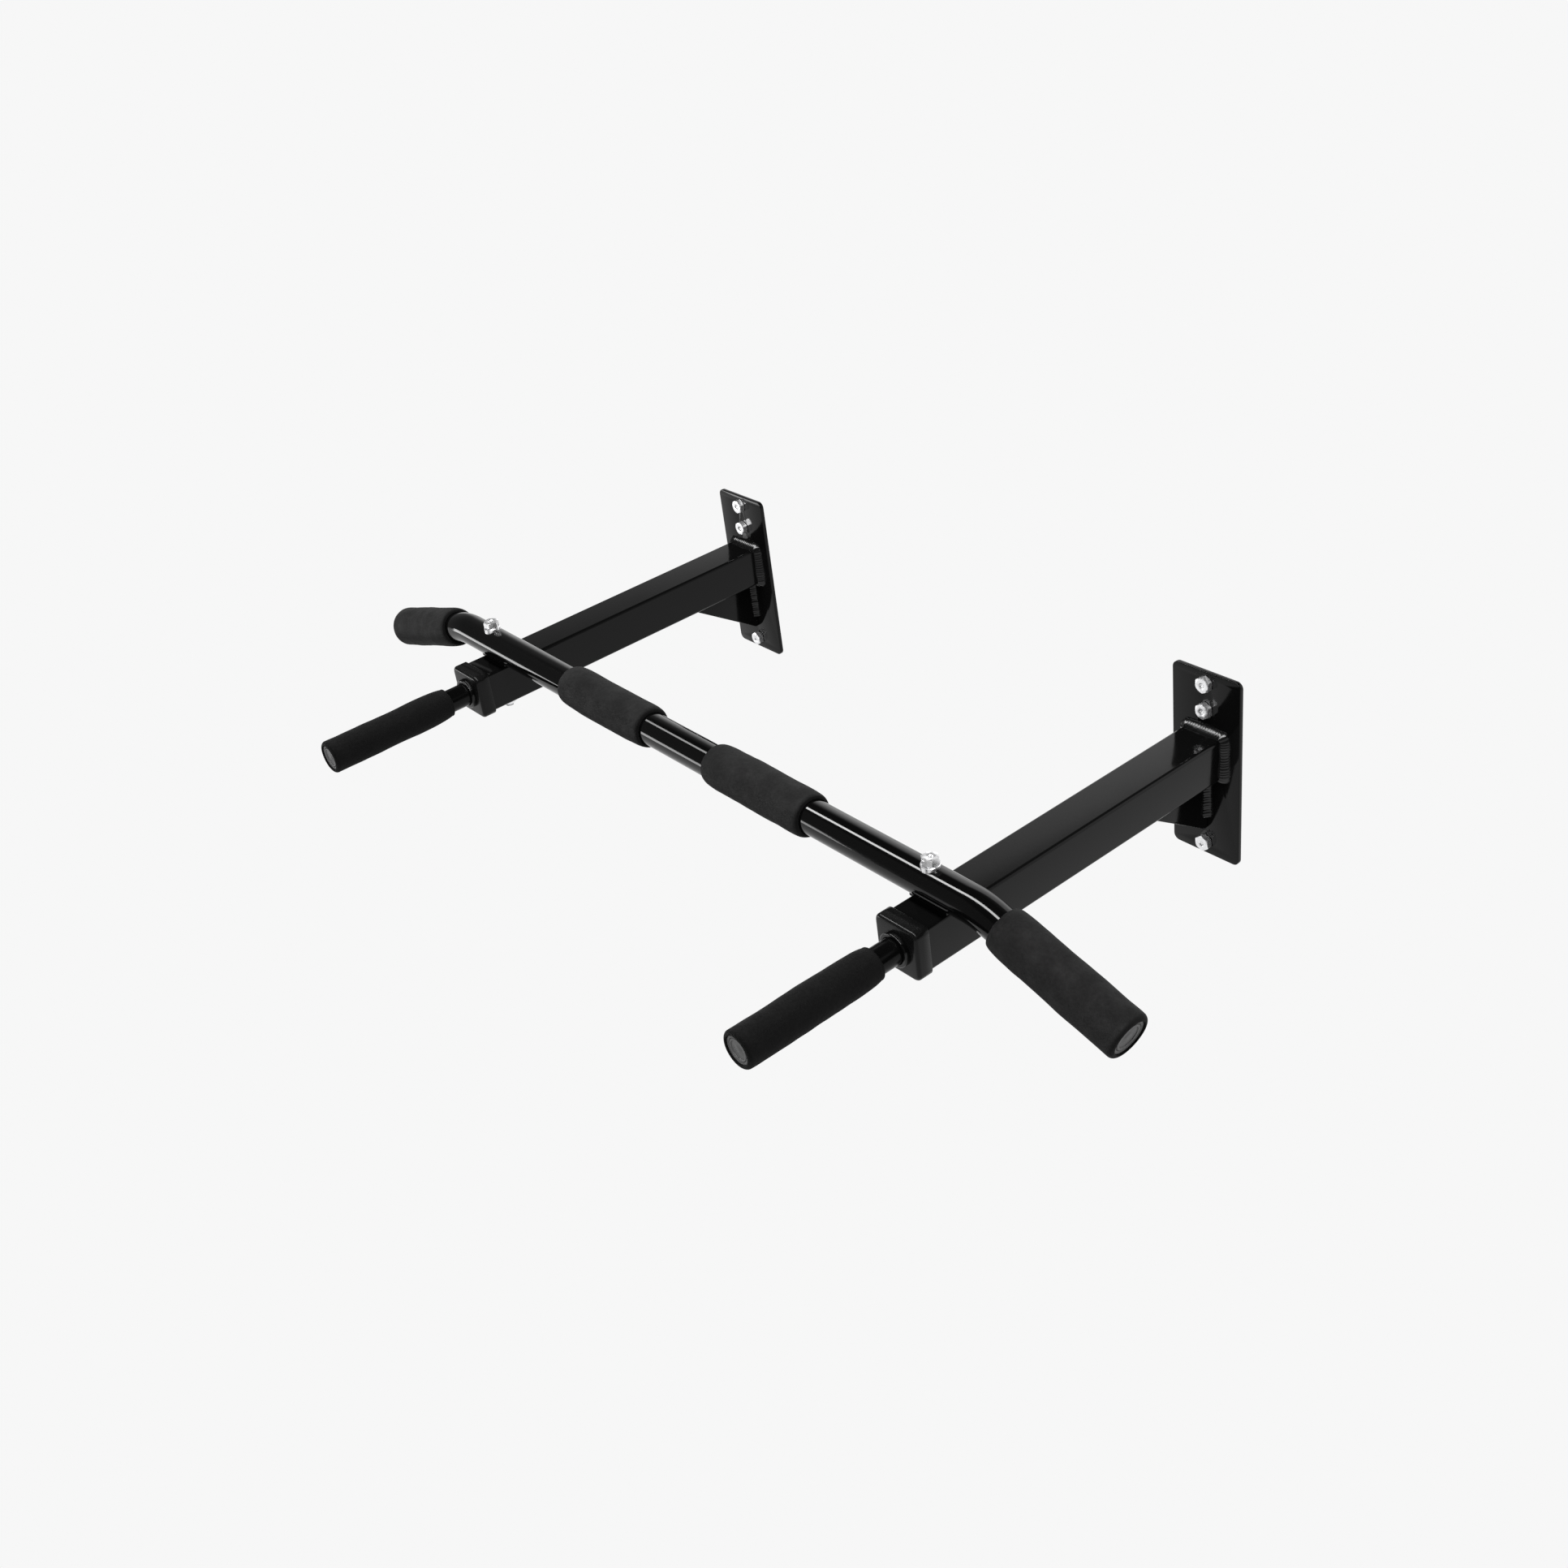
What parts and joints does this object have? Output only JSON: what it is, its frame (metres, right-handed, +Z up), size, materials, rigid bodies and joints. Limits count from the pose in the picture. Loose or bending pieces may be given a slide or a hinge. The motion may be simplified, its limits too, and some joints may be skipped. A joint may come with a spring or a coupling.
{
  "type": "pull up bar",
  "caption": "Wall-mounted pull up bar: two square arms on wall plates carry a bent round bar with foam grips and two straight front handles.",
  "frame": {"origin": "on the wall plane, midway between the two wall plates, at the height of the arms' axis", "axes": "+X along the bar to the right of someone facing the wall, +Y into the wall, +Z up; the bar and handles stand out along -Y"},
  "size_m": [1.0074, 0.5145, 0.18],
  "materials": {
    "painted_steel": "high-gloss black paint",
    "weld_paint": "gloss black paint over a rippled weld bead",
    "black_plastic": "satin black moulded plastic",
    "foam": "matte closed-cell foam",
    "plug_plastic": "matte grey moulded plastic",
    "zinc": "bright zinc plate"
  },
  "bodies": {
    "root": {"cross_bar": "painted_steel", "left_wall_plate": "painted_steel", "left_arm": "painted_steel", "left_gusset": "painted_steel", "left_arm_weld": "weld_paint", "left_gusset_weld_inner": "weld_paint", "left_gusset_weld_outer": "weld_paint", "left_wall_bolt_top": "zinc", "left_wall_bolt_middle": "zinc", "left_wall_bolt_bottom": "zinc", "left_bar_cradle": "painted_steel", "left_bar_bolt": "zinc", "left_bar_saddle_washer": "zinc", "left_bar_nut_washer": "zinc", "left_bar_nut": "zinc", "left_centre_grip": "foam", "left_end_grip": "foam", "left_bar_end_plug": "plug_plastic", "left_arm_end_plate": "painted_steel", "left_end_cap": "black_plastic", "left_handle_tube": "painted_steel", "left_handle_collar": "painted_steel", "left_handle_grip": "foam", "left_handle_end_plug": "plug_plastic", "right_wall_plate": "painted_steel", "right_arm": "painted_steel", "right_gusset": "painted_steel", "right_arm_weld": "weld_paint", "right_gusset_weld_inner": "weld_paint", "right_gusset_weld_outer": "weld_paint", "right_wall_bolt_top": "zinc", "right_wall_bolt_middle": "zinc", "right_wall_bolt_bottom": "zinc", "right_bar_cradle": "painted_steel", "right_bar_bolt": "zinc", "right_bar_saddle_washer": "zinc", "right_bar_nut_washer": "zinc", "right_bar_nut": "zinc", "right_centre_grip": "foam", "right_end_grip": "foam", "right_bar_end_plug": "plug_plastic", "right_arm_end_plate": "painted_steel", "right_end_cap": "black_plastic", "right_handle_tube": "painted_steel", "right_handle_collar": "painted_steel", "right_handle_grip": "foam", "right_handle_end_plug": "plug_plastic"}
  },
  "joints": []
}
